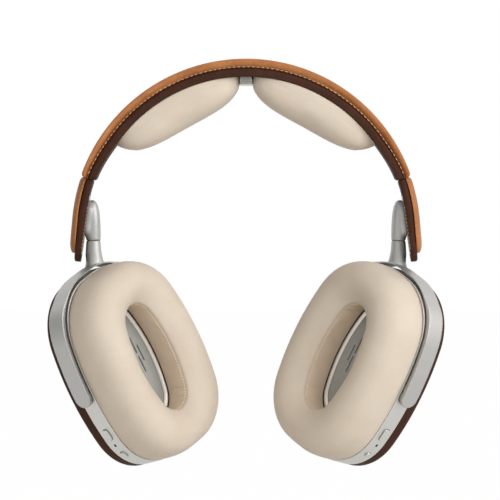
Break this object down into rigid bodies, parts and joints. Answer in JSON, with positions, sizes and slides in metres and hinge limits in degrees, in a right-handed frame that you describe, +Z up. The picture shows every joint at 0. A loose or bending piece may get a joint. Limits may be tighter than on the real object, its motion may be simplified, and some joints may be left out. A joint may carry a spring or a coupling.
{
  "type": "over ear headphones",
  "caption": "Over-ear headphones with a stitched leather arch, padded crown, sliding elbow arms, swivelling forks and padded oval ear cups with buttons in the metal rims.",
  "frame": {"origin": "middle of the flat underside of the clip between the two head pads", "axes": "+Z up along the arch, X across from ear to ear, -Y towards the side that shows the controls"},
  "size_m": [0.191, 0.0755, 0.1968],
  "materials": {
    "tan_leather": "smooth, stitched edge",
    "dark_leather": "smooth",
    "cream_leather": "soft, padded",
    "silver": "satin",
    "bright_ring": "polished",
    "spring_steel": "brushed",
    "pin_steel": "turned",
    "clip_grey": "matte",
    "baffle_grey": "fine texture",
    "black_plastic": "matte",
    "cloth_black": "woven",
    "magnet_steel": "ground",
    "film": "thin film",
    "board_green": "solder mask",
    "cell_foil": "foil",
    "washer_plastic": "smooth",
    "socket_steel": "stamped"
  },
  "bodies": {
    "headband": {"band_cover": "tan_leather", "band_lining": "dark_leather", "spring_band": "spring_steel", "pad_left": "cream_leather", "pad_right": "cream_leather", "pad_clip": "clip_grey", "end_cover_left": "tan_leather", "end_core_left": "dark_leather", "slide_rail_left": "silver", "end_cover_right": "tan_leather", "end_core_right": "dark_leather", "slide_rail_right": "silver"},
    "arm_left": {"elbow_arm_left": "silver", "slide_shoe_left": "pin_steel", "swivel_pin_left": "pin_steel"},
    "fork_left": {"yoke_left": "silver", "swivel_washer_left": "washer_plastic", "pivot_pins_left": "pin_steel"},
    "cup_left": {"cup_shell_left": "silver", "outer_cover_left": "dark_leather", "pivot_bushes_left": "black_plastic", "baffle_left": "baffle_grey", "baffle_ring_left": "bright_ring", "damping_cloth_left": "cloth_black", "driver_frame_left": "black_plastic", "driver_magnet_left": "magnet_steel", "diaphragm_left": "film", "circuit_board_left": "board_green", "cushion_plate_left": "black_plastic", "ear_cushion_left": "cream_leather", "battery_left": "cell_foil"},
    "button_upper_left": {"button_upper_left": "silver"},
    "button_lower_left": {"button_lower_left": "silver"},
    "arm_right": {"elbow_arm_right": "silver", "slide_shoe_right": "pin_steel", "swivel_pin_right": "pin_steel"},
    "fork_right": {"yoke_right": "silver", "swivel_washer_right": "washer_plastic", "pivot_pins_right": "pin_steel"},
    "cup_right": {"cup_shell_right": "silver", "outer_cover_right": "dark_leather", "pivot_bushes_right": "black_plastic", "baffle_right": "baffle_grey", "baffle_ring_right": "bright_ring", "damping_cloth_right": "cloth_black", "driver_frame_right": "black_plastic", "driver_magnet_right": "magnet_steel", "diaphragm_right": "film", "circuit_board_right": "board_green", "cushion_plate_right": "black_plastic", "ear_cushion_right": "cream_leather", "charge_socket_right": "socket_steel"},
    "button_upper_right": {"button_upper_right": "silver"},
    "button_lower_right": {"button_lower_right": "silver"}
  },
  "joints": [
    {"name": "height_left", "type": "slide", "parent": "headband", "child": "arm_left", "axis": [0.1392, 0, 0.9903], "range_m": [-0.01, 0]},
    {"name": "swivel_left", "type": "hinge", "parent": "arm_left", "child": "fork_left", "pos_m": [-0.0738, 0, -0.075], "axis": [0, 0, -1], "range_deg": [-42, 42]},
    {"name": "tilt_left", "type": "hinge", "parent": "fork_left", "child": "cup_left", "pos_m": [-0.05847, 0.00135, -0.13535], "axis": [0.5337, 0.7289, 0.4288], "range_deg": [-8, 8]},
    {"name": "press_upper_left", "type": "slide", "parent": "cup_left", "child": "button_upper_left", "axis": [0.4505, 0.683, 0.5749], "range_m": [0, 0.0005], "stiffness_N_per_m": 1500, "springref_m": -0.0006},
    {"name": "press_lower_left", "type": "slide", "parent": "cup_left", "child": "button_lower_left", "axis": [0.2349, 0.5214, 0.8203], "range_m": [0, 0.0005], "stiffness_N_per_m": 1500, "springref_m": -0.0006},
    {"name": "height_right", "type": "slide", "parent": "headband", "child": "arm_right", "axis": [-0.1392, 0, 0.9903], "range_m": [-0.01, 0]},
    {"name": "swivel_right", "type": "hinge", "parent": "arm_right", "child": "fork_right", "pos_m": [0.0738, 0, -0.075], "axis": [0, 0, 1], "range_deg": [-42, 42]},
    {"name": "tilt_right", "type": "hinge", "parent": "fork_right", "child": "cup_right", "pos_m": [0.05847, 0.00135, -0.13535], "axis": [0.5337, -0.7289, -0.4288], "range_deg": [-8, 8]},
    {"name": "press_upper_right", "type": "slide", "parent": "cup_right", "child": "button_upper_right", "axis": [-0.4505, 0.683, 0.5749], "range_m": [0, 0.0005], "stiffness_N_per_m": 1500, "springref_m": -0.0006},
    {"name": "press_lower_right", "type": "slide", "parent": "cup_right", "child": "button_lower_right", "axis": [-0.2349, 0.5214, 0.8203], "range_m": [0, 0.0005], "stiffness_N_per_m": 1500, "springref_m": -0.0006}
  ]
}
